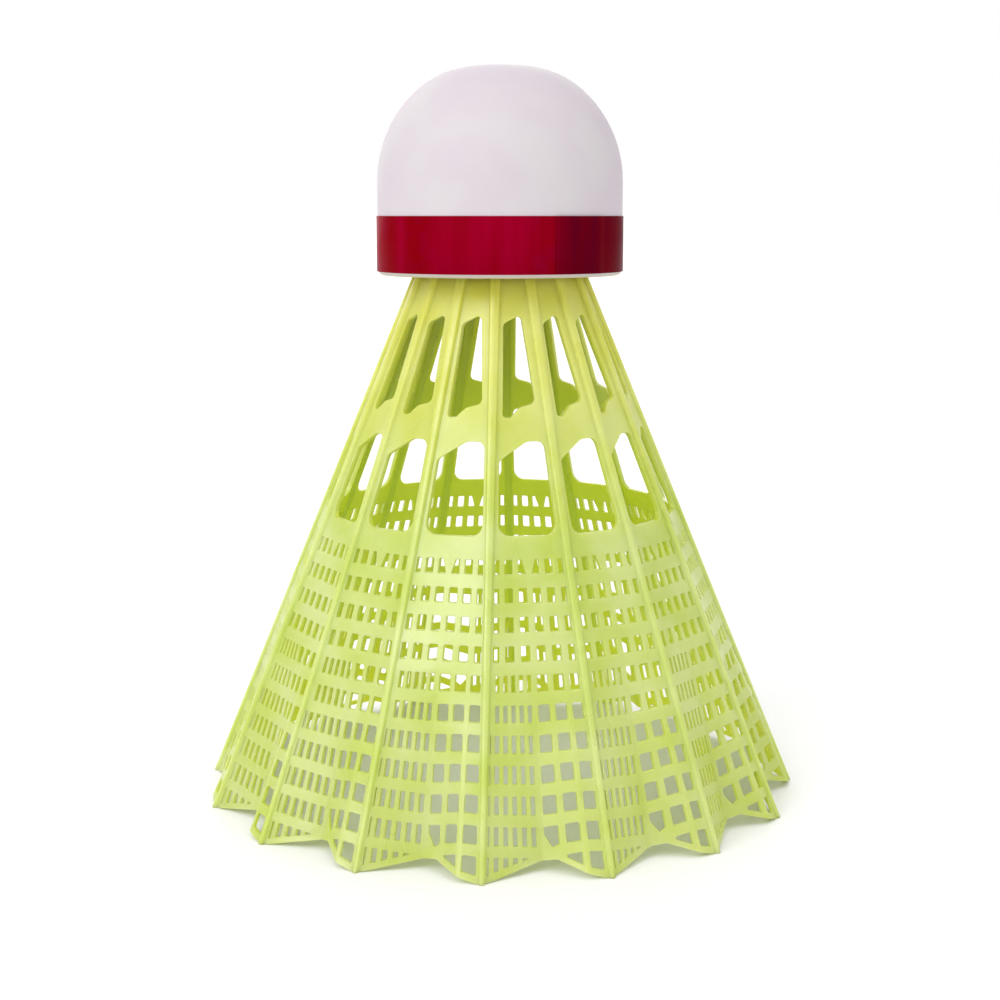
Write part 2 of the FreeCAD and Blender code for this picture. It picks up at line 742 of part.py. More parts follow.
def main():
    core = make_cork_core()
    cut_bore(core)
    cover = make_head_cover()
    band = make_speed_band()
    adhesive = make_plug_adhesive()
    skirt = make_skirt(make_plug())
    check_document()
    os.makedirs("parts", exist_ok=True)
    for item in (core, cover, band, adhesive, skirt):
        export(item)


main()
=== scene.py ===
"""Looks of the badminton shuttlecock: skin, film band, cork, glue and moulded nylon skirt."""
import math
import bmesh
import bpy
from mathutils import Matrix, Vector
from mathutils.geometry import delaunay_2d_cdt


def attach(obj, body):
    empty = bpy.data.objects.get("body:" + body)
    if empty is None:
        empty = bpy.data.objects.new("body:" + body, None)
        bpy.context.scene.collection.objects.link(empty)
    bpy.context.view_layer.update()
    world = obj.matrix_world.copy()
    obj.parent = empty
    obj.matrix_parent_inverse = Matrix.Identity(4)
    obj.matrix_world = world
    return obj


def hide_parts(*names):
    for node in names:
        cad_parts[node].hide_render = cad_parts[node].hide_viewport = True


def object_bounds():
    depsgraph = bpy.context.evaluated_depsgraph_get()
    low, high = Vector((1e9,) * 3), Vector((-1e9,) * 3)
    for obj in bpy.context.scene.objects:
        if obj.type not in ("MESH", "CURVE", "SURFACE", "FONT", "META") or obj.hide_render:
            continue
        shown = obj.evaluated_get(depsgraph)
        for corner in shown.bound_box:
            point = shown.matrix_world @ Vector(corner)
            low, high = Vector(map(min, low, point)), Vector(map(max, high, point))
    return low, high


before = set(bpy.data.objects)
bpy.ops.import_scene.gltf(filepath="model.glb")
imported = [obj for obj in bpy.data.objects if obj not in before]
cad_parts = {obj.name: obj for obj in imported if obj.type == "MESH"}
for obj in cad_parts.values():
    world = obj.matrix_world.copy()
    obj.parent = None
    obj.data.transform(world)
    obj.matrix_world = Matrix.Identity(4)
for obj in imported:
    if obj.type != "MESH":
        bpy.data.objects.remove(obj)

CAD_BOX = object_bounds()
MM = 0.001
TURN = 2 * math.pi
BODY = "root"

# Head, in millimetres, as the CAD model states it, but for the puckers of its hem.
HEAD_RADIUS = 13.25
HEAD_BASE = 56.8
HEAD_TOP = 79.0
COVER_THICKNESS = 0.45
COVER_EDGE = 0.6
HEM_RADIUS = 10.1
FLANK_BASE = 66.7
FLANK_RADIUS = 12.9
SHOULDER_RADIUS = 9.8
CROWN_RADIUS = 25.5
CORE_BASE = HEAD_BASE + COVER_THICKNESS
PUCKER_COUNT = 44
PUCKER_DEPTH = 0.2
PUCKER_UNEVEN = 0.25
PUCKER_DRIFT = 0.6

# Points along each arc of the head, steps round the axis, and the radius taken as on the axis.
HEM_POINTS = 4
EDGE_POINTS = 8
FLANK_POINTS = 12
SHOULDER_POINTS = 14
CROWN_POINTS = 16
HEAD_STEPS = 264
PLUG_STEPS = 96
ON_AXIS = 1e-6

# Band, in millimetres and degrees from the front, turning to the right.
BAND_BASE = 57.2
BAND_WIDTH = 5.9
FILM = 0.12
FILM_EDGE = FILM / 4
FILM_STEP = 1.5
LAP_START = 28.2
LAP_END = 54.0
LAP_RAMP = 3.0
LAP_GAP = 0.004
LAP_MARGIN = 1.0
# Darkening of the band round to the right of LAP_START: partly the film lying doubled, partly painted
# shade on that side of the band.
DARK_END = 88.0
DARK_FADE = 30.0
DARK_RISE = 10.0
DARK_FIRST = 0.5
CIRCLE = 360

# Skirt, in millimetres. Sizes with two values are given at the collar and at the tips. A place on
# a panel runs from 0 at one rib to 1 at the next.
RIB_COUNT = 16
HALF_RIB_ANGLE = math.pi / RIB_COUNT
COLLAR_RADIUS = 9.5
TIP_RADIUS = 33.0
RISE = (0.42, 0.25)
WALL = (0.78, 0.4)
KEEL = (0.4, 0.05)
CREST_HALF = (0.52, 0.27)
CREST_CROWN = 0.04

# The rib's flank: distance beyond the edge of the crest, and share of the rib's height there.
RIB_FLANK = ((-0.13, 0.96), (-0.04, 0.78), (0.03, 0.22), (0.1, 0.0))
RIB_CLEAR = 0.22

# The pleat: the height where it ends, the place and depth of its two folds at the tips, and how
# far each fold's rounding reaches.
PLEAT_TOP = 19.0
VALLEY = (0.487, 2.2)
RIDGE = (0.815, -0.5)
FOLD_SOFT = 0.018

# Mesh rows. A run of holes is their number, the place of the first, the pitch and half a width.
ROW_SAG = 0.55
ROW_TOP = 29.15
ROW_PITCH = 2.68
ROW_HEIGHT = (1.04, 1.77)
RIM_BORDER = 0.62
EVEN_ROWS = 4
PLEATED_ROWS = 7
EVEN_HOLES = (4, 0.243, 0.167, 0.048)
OUTER_HOLES = (2, 0.093, 0.81, 0.036)
SLOTS = (6, 0.033, 0.08, 0.019)
WIDE_HOLES = (3, 0.57, 0.1635, 0.054)
CORNER_WIDTH = 0.06
CORNER_HEIGHT = 1.1
SMALLEST_HOLE = 0.2
PINCHED = 0.08
HOLE_CORNER = 0.12
CORNER_SHARE = 0.12

# Corners of the windows, each a place, a height and a radius, and of the rim, each a place and a
# height.
UPPER_WINDOW = ((0.185, 42.75, 0.35), (0.33, 42.8, 0.4), (0.5, 43.75, 0.8), (0.8, 44.2, 0.6),
                (0.67, 53.05, 0.45), (0.215, 52.1, 0.6))
LOWER_WINDOW = ((0.115, 31.35, 1.1), (0.9, 31.35, 1.1), (0.88, 40.45, 0.8), (0.58, 40.45, 1.5),
                (0.125, 38.6, 0.6))
RIM = ((0.0, 0.0), (0.035, 0.0), (0.475, 1.08), (0.605, 1.45), (0.965, 0.0), (1.0, 0.0))
UPPER_CORNER_STEPS = 5
LOWER_CORNER_STEPS = 6
EDGE_ROUND = 0.08

# How the skirt's mesh is laid out. Points stand a line step apart up the ribs. The seam, cut and
# weld widths say when a point counts as on a seam or as the same point. A sharp corner is drawn
# back no further than its least share allows, and a hairpin is drawn back by one side alone.
LINE_STEP = 1.4
SEAM_WIDTH = 0.002
CUT_EPSILON = 0.0005
WELD_WIDTH = 0.0002
SHARPEST_WAY = 0.85
HAIRPIN = 0.2
FLAT_RELIEF = 0.001

# Weight of each kind of face in the shading.
ROUNDING, CUT_WALL, RIB_SKIN, PLAIN_SKIN = range(4)

# Layers of the skirt's wall, from outside to inside.
OUTSIDE, OUTER_EDGE, INNER_EDGE, INSIDE = range(4)

# Plug of the skirt inside the cork.
PLUG_RADIUS = 7.2
PLUG_WALL = 0.9
PLUG_TOP = CORE_BASE + 8.2
PLUG_BEVEL = 0.6
PLUG_RIDGE = 0.1
RIDGE_COUNT = 2
RIDGE_PITCH = 2.5
RIDGE_FOOT = 0.65
RIDGE_EDGE = 0.35
GATE_RADIUS = 1.4
GATE_HEIGHT = 0.35
SEAT_RADIUS = 8.6
SEAT_BASE = CORE_BASE - 1.9

# Heights between which the nylon's colour goes over from the thin wall's to the thick wall's,
# and the depth of the shaded corner under the head.
THIN_BELOW = 30.0
THICK_ABOVE = 58.0
SHADED_DEPTH = 1.1

# Colours, as red, green and blue.
SKIN_LILAC = (0.605, 0.535, 0.59)
SKIN_WHITE = (0.625, 0.585, 0.605)
HEM_CREAM = (0.56, 0.49, 0.36)
FILM_DEEP_RED = (0.22, 0.0, 0.004)
FILM_RED = (0.29, 0.0, 0.018)
# Tint of painted reflections on the film.
FILM_REFLECTION_PURPLE = (0.25, 0.0, 0.04)
# Dark film colours for the doubled film and for painted shade on the band's right side.
LAP_AND_SHADE_PURPLE = (0.10, 0.0, 0.010)
LAP_AND_SHADE_RED = (0.15, 0.0, 0.004)
# The pale nylon colours make patches that are partly the nylon's uneven tone and partly painted sheen.
THIN_GREEN = (0.455, 0.55, 0.095)
THIN_PALE_SHEEN = (0.54, 0.62, 0.22)
THICK_YELLOW = (0.60, 0.59, 0.05)
THICK_PALE_SHEEN = (0.66, 0.66, 0.16)
# Inside of the skirt: painted light low down, where light comes in through the mesh, and painted shade
# high up under the head.
INNER_LIT_GREEN = (0.55, 0.66, 0.055)
INNER_SHADED_OLIVE = (0.37, 0.39, 0.015)
# Painted shade in the corner under the head.
CORNER_SHADE_OLIVE = (0.22, 0.25, 0.015)
CORK_DARK = (0.33, 0.19, 0.09)
CORK_BROWN = (0.52, 0.33, 0.17)
CORK_LIGHT = (0.64, 0.44, 0.25)
CORK_SEAM = (0.35, 0.3, 0.25)
GLUE_AMBER = (0.62, 0.44, 0.16)
GLUE_HONEY = (0.74, 0.60, 0.30)
WHITE = (1.0, 1.0, 1.0)
FLOOR_GREY = (0.93, 0.93, 0.93)
FLOOR_PALE = (0.95, 0.95, 0.95)

# Studio, in metres, with the lens in millimetres.
FLOOR_REACH = 40.0
BACKDROP_SEEN = 1.0
BACKDROP_LIGHT = 0.775
CAMERA_AWAY = 0.18718
CAMERA_HEIGHT = 0.0631
CAMERA_SIDE = math.radians(3.05)
CAMERA_TILT = math.radians(9.4695)
CAMERA_LENS = 61.3
CAMERA_NEAR = 0.01


# ---------------------------------------------------------------------------------------------
# Meshes
# ---------------------------------------------------------------------------------------------
def new_piece(name, mesh, material, slot, *nodes):
    piece = bpy.data.objects.new(name, mesh)
    bpy.context.scene.collection.objects.link(piece)
    mesh.materials.append(material)
    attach(piece, BODY)
    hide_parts(*nodes)
    return piece


def arc_points(centre, radius, start, end, count):
    points = []
    for index in range(count):
        angle = start + (end - start) * index / (count - 1)
        points.append((centre[0] + radius * math.cos(angle), centre[1] + radius * math.sin(angle)))
    return points


def shoulder_centre(crown, flank):
    # Centre of the arc that touches the crown arc and the flank arc from inside.
    from_crown = CROWN_RADIUS - SHOULDER_RADIUS
    from_flank = FLANK_RADIUS - SHOULDER_RADIUS
    across = flank - crown
    along = (from_crown ** 2 - from_flank ** 2 + across.length_squared) / (2 * across.length)
    aside = math.sqrt(from_crown ** 2 - along ** 2)
    direction = across.normalized()
    sideways = Vector((-direction.y, direction.x))
    base = crown + direction * along
    return max((base + sideways * aside, base - sideways * aside), key=lambda point: point.x)


def dome_profile(inset):
    # Flank, shoulder and crown from the side up to the nose, less the given inset.
    crown = Vector((0.0, HEAD_TOP - CROWN_RADIUS))
    flank = Vector((HEAD_RADIUS - FLANK_RADIUS, FLANK_BASE))
    middle = shoulder_centre(crown, flank)
    low = math.atan2(middle.y - flank.y, middle.x - flank.x)
    high = math.atan2(middle.y - crown.y, middle.x - crown.x)
    points = arc_points(flank, FLANK_RADIUS - inset, 0.0, low, FLANK_POINTS)
    points += arc_points(middle, SHOULDER_RADIUS - inset, low, high, SHOULDER_POINTS)[1:]
    points += arc_points(crown, CROWN_RADIUS - inset, high, math.pi / 2, CROWN_POINTS)[1:]
    return points


def cover_profile():
    # From the hem's inner corner, round the edge, up the outside, and back down the inside.
    edge_radius = HEAD_RADIUS - COVER_EDGE
    edge_height = HEAD_BASE + COVER_EDGE
    hem_round = COVER_THICKNESS / 2
    hem = arc_points((HEM_RADIUS + hem_round, HEAD_BASE + hem_round), hem_round,
                     math.pi, 1.5 * math.pi, HEM_POINTS)
    middle_hem = [((HEM_RADIUS + edge_radius) / 2, HEAD_BASE)]
    edge = arc_points((edge_radius, edge_height), COVER_EDGE, -math.pi / 2, 0.0, EDGE_POINTS)
    outside = dome_profile(0.0)
    inside = dome_profile(COVER_THICKNESS)
    inside.reverse()
    corner = [(HEAD_RADIUS - COVER_THICKNESS, CORE_BASE), (HEM_RADIUS + hem_round, CORE_BASE)]
    return hem + middle_hem + edge + outside + inside + corner


def hem_puckers(radius, height, angle):
    # Small gathers where the skin is folded under the head, deeper towards its inner edge.
    if height > CORE_BASE or radius > HEAD_RADIUS - COVER_EDGE:
        return height
    inward = (HEAD_RADIUS - COVER_EDGE - radius) / (HEAD_RADIUS - COVER_EDGE - HEM_RADIUS)
    uneven = 1 - PUCKER_UNEVEN * (1 - math.sin(7 * angle + 1.0))
    wave = (1 + math.sin(PUCKER_COUNT * angle + PUCKER_DRIFT * math.sin(5 * angle))) / 2
    room = (CORE_BASE - height) / COVER_THICKNESS
    return height + PUCKER_DEPTH * inward * uneven * wave * room


def lathe(name, profile, steps, height_at=None):
    # Turns a closed profile of (radius, height) in millimetres round the upright axis.
    mesh = bpy.data.meshes.new(name)
    work = bmesh.new()
    rings = []
    for radius, height in profile:
        if radius < ON_AXIS:
            rings.append([work.verts.new((0.0, 0.0, height * MM))])
            continue
        ring = []
        for step in range(steps):
            angle = TURN * step / steps
            level = height_at(radius, height, angle) if height_at else height
            ring.append(work.verts.new((radius * math.sin(angle) * MM,
                                        -radius * math.cos(angle) * MM, level * MM)))
        rings.append(ring)
    for low, high in zip(rings, rings[1:] + rings[:1]):
        for step in range(max(len(low), len(high))):
            after = (step + 1) % steps
            corners = ([low[step], low[after]] if len(low) > 1 else [low[0]])
            corners += ([high[after], high[step]] if len(high) > 1 else [high[0]])
            if len(corners) > 2:
                work.faces.new(corners)
    bmesh.ops.recalc_face_normals(work, faces=work.faces)
    work.to_mesh(mesh)
    work.free()
    mesh.shade_smooth()
    return mesh


def film_radius(angle):
    # Inner radius of the wound film: its outer end lies on its own beginning.
    lift = 1.0
    if angle > LAP_END:
        lift = max(0.0, 1.0 - (angle - LAP_END) / LAP_RAMP)
    smooth = lift * lift * (3 - 2 * lift)
    return HEAD_RADIUS + (FILM + LAP_GAP) * smooth


def band_mesh():
    # The film runs from its free outer end at the front right once round and under that end.
    mesh = bpy.data.meshes.new("speed_band_film")
    work = bmesh.new()
    sections = []
    count = int((LAP_END + CIRCLE - LAP_START) / FILM_STEP)
    low, high = BAND_BASE, BAND_BASE + BAND_WIDTH
    for index in range(count + 1):
        angle = LAP_START + index * FILM_STEP
        turn = math.radians(angle)
        inner = film_radius(angle)
        outer = inner + FILM
        section = [(inner, low + FILM_EDGE), (inner + FILM_EDGE, low), (outer - FILM_EDGE, low),
                   (outer, low + FILM_EDGE), (outer, high - FILM_EDGE), (outer - FILM_EDGE, high),
                   (inner + FILM_EDGE, high), (inner, high - FILM_EDGE)]
        ring = []
        for radius, height in section:
            ring.append(work.verts.new((radius * math.sin(turn) * MM,
                                        -radius * math.cos(turn) * MM, height * MM)))
        sections.append(ring)
    size = len(sections[0])
    for near, far in zip(sections, sections[1:]):
        for corner in range(size):
            after = (corner + 1) % size
            work.faces.new((near[corner], far[corner], far[after], near[after]))
    work.faces.new(sections[0])
    work.faces.new(list(reversed(sections[-1])))
    bmesh.ops.recalc_face_normals(work, faces=work.faces)
    work.to_mesh(mesh)
    work.free()
    mesh.shade_smooth()
    return mesh


# ---------------------------------------------------------------------------------------------
# Skirt: one panel is laid out flat, given its thickness and pleat, and turned round the axis
# ---------------------------------------------------------------------------------------------
def taper(sizes, height):
    # A size at a height, from its values at the collar and at the tips.
    top, tip = sizes
    return tip + (top - tip) * height / CORE_BASE


def wall_distance(height):
    # Distance from the axis of the outside of the wall, at a rib but below its relief.
    slope = (TIP_RADIUS - COLLAR_RADIUS) / HEAD_BASE
    return TIP_RADIUS - slope * height - taper(RISE, height)


def half_chord(height):
    # Half the width of a panel.
    return wall_distance(height) * math.sin(HALF_RIB_ANGLE)


def flat_point(place, height):
    # The place on the panel laid out flat, with its middle on the upright line.
    return Vector(((2 * place - 1) * half_chord(height), height))


def place_of(flat):
    return flat.x / (2 * half_chord(flat.y)) + 0.5


def between(corners, place):
    # Value at a place on the line through the corners, each a place and a value.
    for (left, low), (right, high) in zip(corners, corners[1:]):
        if left <= place <= right:
            return low + (high - low) * (place - left) / (right - left)
    return corners[-1][1]


def pleat_depth(place, height):
    # How far the pleat lies inside the flat panel. Its two folds are soft.
    section = ((0.0, 0.0), VALLEY, RIDGE, (1.0, 0.0))
    depth = between(section, place)
    for fold in (VALLEY[0], RIDGE[0]):
        if abs(place - fold) < FOLD_SOFT:
            beside = between(section, place - FOLD_SOFT) + between(section, place + FOLD_SOFT)
            depth = (2 * depth + beside) / 4
    return depth * max(1 - height / PLEAT_TOP, 0.0)


def sagged(place, height):
    # The rows dip where the pleat goes inward.
    return height - ROW_SAG * pleat_depth(place, height)


def relief(aside, height):
    # Share of the rib's height at a distance from the rib's middle.
    crest = taper(CREST_HALF, height)
    steps = [(0.0, 1.0)] + [(crest + shift, share) for shift, share in RIB_FLANK]
    if aside >= steps[-1][0]:
        return 0.0
    return between(steps, aside)


def rib_aside(flat):
    # Distance from the middle of the nearer rib.
    return max(half_chord(flat.y) - abs(flat.x), 0.0)


def skin_distances(flat):
    # Distance from the axis of the outside and of the inside of the moulding.
    height = flat.y
    aside = rib_aside(flat)
    share = relief(aside, height)
    level = aside * math.tan(HALF_RIB_ANGLE)
    crown = CREST_CROWN * (aside / taper(CREST_HALF, height)) ** 2
    wall = wall_distance(height)
    outside = wall + share * (taper(RISE, height) + level - crown)
    inside = wall - taper(WALL, height) - share * (taper(KEEL, height) - level)
    return outside, inside


def panel_point(flat, distance):
    # The point in space, on a panel that faces the front and is not yet turned into its place.
    place = place_of(flat)
    angle = HALF_RIB_ANGLE
    across = (2 * place - 1) * distance * math.sin(angle)
    clear_of_rib = 1 - relief(rib_aside(flat), flat.y)
    out = distance * math.cos(angle) - pleat_depth(place, flat.y) * clear_of_rib
    return Vector((across, -out, flat.y))


def rounded(corners, steps):
    # Closed outline with every corner rounded by its own radius.
    outline = []
    points = [flat_point(place, height) for place, height, radius in corners]
    for index, point in enumerate(points):
        to_last = (points[index - 1] - point).normalized()
        to_next = (points[(index + 1) % len(points)] - point).normalized()
        half = to_last.angle(to_next) / 2
        radius = corners[index][2]
        bisector = (to_last + to_next).normalized()
        centre = point + bisector * (radius / math.sin(half))
        start = point + to_last * (radius / math.tan(half)) - centre
        end = point + to_next * (radius / math.tan(half)) - centre
        for step in range(steps + 1):
            way = start.lerp(end, step / steps)
            outline.append(centre + way.normalized() * radius)
    return outline


def lowest(place):
    # Lowest that a hole may reach, clear of the rim.
    return between(RIM, place) + RIM_BORDER


def hole_corners(left, right, top, bottom):
    # Corners of a mesh hole, kept clear of the rim. Three where the rim pinches it off.
    high_left = sagged(left, top)
    high_right = sagged(right, top)
    low_left = max(sagged(left, bottom), lowest(left))
    low_right = max(sagged(right, bottom), lowest(right))
    if max(high_left - low_left, high_right - low_right) < SMALLEST_HOLE:
        return []
    corners = [(left, low_left), (right, low_right), (right, high_right), (left, high_left)]
    if high_left - low_left < PINCHED:
        corners = [(left, high_left), (right, low_right), (right, high_right)]
    if high_right - low_right < PINCHED:
        corners = [(left, low_left), (right, high_right), (left, high_left)]
    return corners


def evenly(run):
    # Place and half width of each hole of a run.
    count, first, pitch, half = run
    return [(first + pitch * index, half) for index in range(count)]


def row_holes(row):
    # Corners of the holes of one row, the upper rows even and the lower ones pleated.
    top = ROW_TOP - row * ROW_PITCH
    bottom = top - taper(ROW_HEIGHT, top)
    clear = (taper(CREST_HALF, top) + RIB_CLEAR) / (2 * half_chord(top))
    spans = evenly(SLOTS) + evenly(WIDE_HOLES)
    if row < EVEN_ROWS:
        spans = sorted(evenly(EVEN_HOLES) + evenly(OUTER_HOLES))
    holes = []
    for middle, half in spans:
        left = max(middle - half, clear)
        right = min(middle + half, 1 - clear)
        holes.append(hole_corners(left, right, top, bottom) if right > left else [])
    if row == 0:
        lean_from_gusset(holes)
    if row == EVEN_ROWS + PLEATED_ROWS - 2:
        cut_corner(holes[SLOTS[0]])
    return [corners for corners in holes if corners]


def lean_from_gusset(holes):
    # The two middle holes of the first row lean away from the gusset between them.
    middle = len(holes) // 2
    half = EVEN_HOLES[3]
    left = holes[middle - 1]
    right = holes[middle]
    left[2] = (left[2][0] - half, left[2][1])
    right[3] = (right[3][0] + half, right[3][1])


def cut_corner(corners):
    # The wide hole right above the valley of the rim loses its lower corner.
    left, bottom = corners[0]
    corners[0:1] = [(left, bottom + CORNER_HEIGHT), (left + CORNER_WIDTH, bottom)]


def hole_outline(corners):
    # Outline of a mesh hole, with corners rounded as far as its shortest side allows.
    points = [flat_point(*corner) for corner in corners]
    sides = [(points[index - 1] - point).length for index, point in enumerate(points)]
    radius = min(HOLE_CORNER, CORNER_SHARE * min(sides))
    return rounded([(place, height, radius) for place, height in corners], 1)


def panel_openings():
    openings = [rounded(UPPER_WINDOW, UPPER_CORNER_STEPS),
                rounded(LOWER_WINDOW, LOWER_CORNER_STEPS)]
    for row in range(EVEN_ROWS + PLEATED_ROWS):
        openings += [hole_outline(corners) for corners in row_holes(row)]
    return openings


def climbing(start, end):
    # Points along an upright line at even steps, so that both sides of a seam get the same ones.
    count = max(2, round((end.y - start.y) / LINE_STEP))
    return [start.lerp(end, index / count) for index in range(count + 1)]


def fold_places():
    return [fold + shift for fold in (VALLEY[0], RIDGE[0])
            for shift in (-FOLD_SOFT, 0.0, FOLD_SOFT)]


def rim_places():
    return sorted([place for place, height in RIM] + fold_places())


def panel_lines():
    # The seams in the middle of both ribs, the flanks of the ribs and the folds of the pleat.
    lines = []
    for side in (-1, 1):
        for shift in [None] + [shift for shift, share in RIB_FLANK]:
            ends = []
            for height in (0.0, CORE_BASE):
                inset = 0.0 if shift is None else taper(CREST_HALF, height) + shift
                ends.append(Vector((side * (half_chord(height) - inset), height)))
            lines.append(climbing(*ends))
    for place in fold_places():
        lines.append(climbing(flat_point(place, between(RIM, place)),
                              flat_point(place, PLEAT_TOP)))
    lines.append([flat_point(0.0, PLEAT_TOP), flat_point(1.0, PLEAT_TOP)])
    lines.append([flat_point(0.0, CORE_BASE), flat_point(1.0, CORE_BASE)])
    lines.append([flat_point(place, between(RIM, place)) for place in rim_places()])
    return lines


def inside_outline(point, outline):
    # Whether a line from the point to the right crosses the outline an odd number of times.
    crossings = False
    before = outline[-1]
    for after in outline:
        if (before.y > point.y) != (after.y > point.y):
            share = (point.y - before.y) / (after.y - before.y)
            if point.x < before.x + (after.x - before.x) * share:
                crossings = not crossings
        before = after
    return crossings


def flat_panel():
    # Points and triangles of the flat panel with its openings left out.
    openings = panel_openings()
    points = []
    edges = []
    for line in panel_lines():
        edges += [(len(points) + index, len(points) + index + 1) for index in range(len(line) - 1)]
        points += line
    for outline in openings:
        count = len(outline)
        edges += [(len(points) + index, len(points) + (index + 1) % count)
                  for index in range(count)]
        points += outline
    cut = delaunay_2d_cdt(points, edges, [], 0, CUT_EPSILON)
    points, triangles = cut[0], cut[2]
    boxes = [(min(p.x for p in outline), max(p.x for p in outline),
              min(p.y for p in outline), max(p.y for p in outline), outline)
             for outline in openings]
    kept = []
    for triangle in triangles:
        middle = sum((points[index] for index in triangle), Vector((0.0, 0.0))) / 3
        if middle.y < between(RIM, place_of(middle)):
            continue
        if all(on_seam(points[index]) for index in triangle):
            continue
        near = [box[4] for box in boxes
                if box[0] < middle.x < box[1] and box[2] < middle.y < box[3]]
        if not any(inside_outline(middle, outline) for outline in near):
            kept.append(tuple(triangle))
    return points, kept


def open_edges(points, triangles):
    # Edges that belong to one triangle, in that triangle's direction, leaving out the seams.
    owned = {}
    for triangle in triangles:
        for index in range(3):
            pair = (triangle[index], triangle[(index + 1) % 3])
            owned[pair] = True
    loose = [pair for pair in owned if (pair[1], pair[0]) not in owned]
    return [pair for pair in loose if not all(on_seam(points[index]) for index in pair)]


def on_seam(point):
    return half_chord(point.y) - abs(point.x) < SEAM_WIDTH


def edge_directions(points, edges):
    # For each point on an edge, the way out of the material, longer at a sharp corner.
    ways = {}
    for first, second in edges:
        along = (points[second] - points[first]).normalized()
        out = Vector((along.y, -along.x))
        for index in (first, second):
            ways.setdefault(index, []).append(out)
    directions = {}
    for index, outs in ways.items():
        total = sum(outs, Vector((0.0, 0.0)))
        if total.length < HAIRPIN:
            directions[index] = outs[0]
            continue
        way = total.normalized()
        directions[index] = way / max(way.dot(outs[0]), SHARPEST_WAY)
    return directions


def drawn_back(flat, way):
    # The point moved into the material, or along the seam if it lies on one.
    if way is None:
        return flat
    back = flat - way * EDGE_ROUND
    if on_seam(flat):
        back.x = math.copysign(half_chord(back.y), flat.x)
    return back


def panel_solid():
    # One panel: its points, whether each lies on the inner skin, and its faces, each with its
    # weight in the shading.
    flats, triangles = flat_panel()
    edges = open_edges(flats, triangles)
    ways = edge_directions(flats, edges)
    layers = [{} for layer in range(INSIDE + 1)]
    points = []
    inner = []
    for index, flat in enumerate(flats):
        outside, inside = skin_distances(flat)
        way = ways.get(index)
        back = drawn_back(flat, way)
        levels = {OUTSIDE: (back, outside), INSIDE: (back, inside)}
        if way is not None:
            levels[OUTER_EDGE] = (flat, outside - EDGE_ROUND)
            levels[INNER_EDGE] = (flat, inside + EDGE_ROUND)
        for layer in sorted(levels):
            layers[layer][index] = len(points)
            points.append(panel_point(*levels[layer]))
            inner.append(1.0 if layer >= INNER_EDGE else 0.0)
    faces = []
    for triangle in triangles:
        steepest = max(relief(rib_aside(flats[index]), flats[index].y) for index in triangle)
        weight = PLAIN_SKIN if steepest < FLAT_RELIEF else RIB_SKIN
        faces.append(([layers[OUTSIDE][index] for index in triangle], weight))
        faces.append(([layers[INSIDE][index] for index in reversed(triangle)], weight))
    for first, second in edges:
        for upper, lower, weight in zip(layers, layers[1:], (ROUNDING, CUT_WALL, ROUNDING)):
            faces.append(([upper[second], upper[first], lower[first], lower[second]], weight))
    return points, inner, faces


def steady_normals(work, weight):
    # Each point is shaded by the weightiest kind of face that meets there, so that flat parts
    # stay flat and the roundings turn from one to the next.
    normals = []
    for point in work.verts:
        most = max(face[weight] for face in point.link_faces)
        total = Vector()
        for face in point.link_faces:
            if face[weight] == most:
                total += face.normal * face.calc_area()
        normals.append(total.normalized())
    return normals


def plug_profile():
    # The hollow plug: up its inside from the mark in its ceiling, and back up its ridged outside.
    bore = PLUG_RADIUS - PLUG_WALL
    ceiling = PLUG_TOP - PLUG_WALL
    profile = [(0.0, ceiling - GATE_HEIGHT), (GATE_RADIUS, ceiling - GATE_HEIGHT),
               (GATE_RADIUS, ceiling), (bore, ceiling), (bore, SEAT_BASE),
               (SEAT_RADIUS, SEAT_BASE), (SEAT_RADIUS, CORE_BASE), (PLUG_RADIUS, CORE_BASE)]
    ridge = PLUG_RADIUS + PLUG_RIDGE
    for number in range(RIDGE_COUNT):
        middle = CORE_BASE + (number + 1) * RIDGE_PITCH
        profile += [(PLUG_RADIUS, middle - RIDGE_FOOT), (ridge, middle - RIDGE_EDGE),
                    (ridge, middle + RIDGE_EDGE), (PLUG_RADIUS, middle + RIDGE_FOOT)]
    return profile + [(PLUG_RADIUS, PLUG_TOP - PLUG_BEVEL), (PLUG_RADIUS - PLUG_BEVEL, PLUG_TOP),
                      (0.0, PLUG_TOP)]


def skirt_mesh():
    # Sixteen panels welded at the seams along the ribs, and the plug that they grow from.
    mesh = bpy.data.meshes.new("skirt_moulding")
    work = bmesh.new()
    points, inner, faces = panel_solid()
    inner_skin = work.verts.layers.float.new("inner_skin")
    shading = work.faces.layers.int.new("shading")
    for turn in range(RIB_COUNT):
        rotation = Matrix.Rotation((2 * turn + 1) * HALF_RIB_ANGLE, 3, "Z")
        corners = [work.verts.new(rotation @ point * MM) for point in points]
        for corner, value in zip(corners, inner):
            corner[inner_skin] = value
        for face, weight in faces:
            work.faces.new([corners[index] for index in face])[shading] = weight
    bmesh.ops.remove_doubles(work, verts=work.verts, dist=WELD_WIDTH * MM)
    bmesh.ops.recalc_face_normals(work, faces=work.faces)
    work.from_mesh(lathe("skirt_plug", plug_profile(), PLUG_STEPS))
    work.normal_update()
    normals = steady_normals(work, shading)
    work.to_mesh(mesh)
    work.free()
    mesh.shade_smooth()
    mesh.normals_split_custom_set_from_vertices(normals)
    return mesh


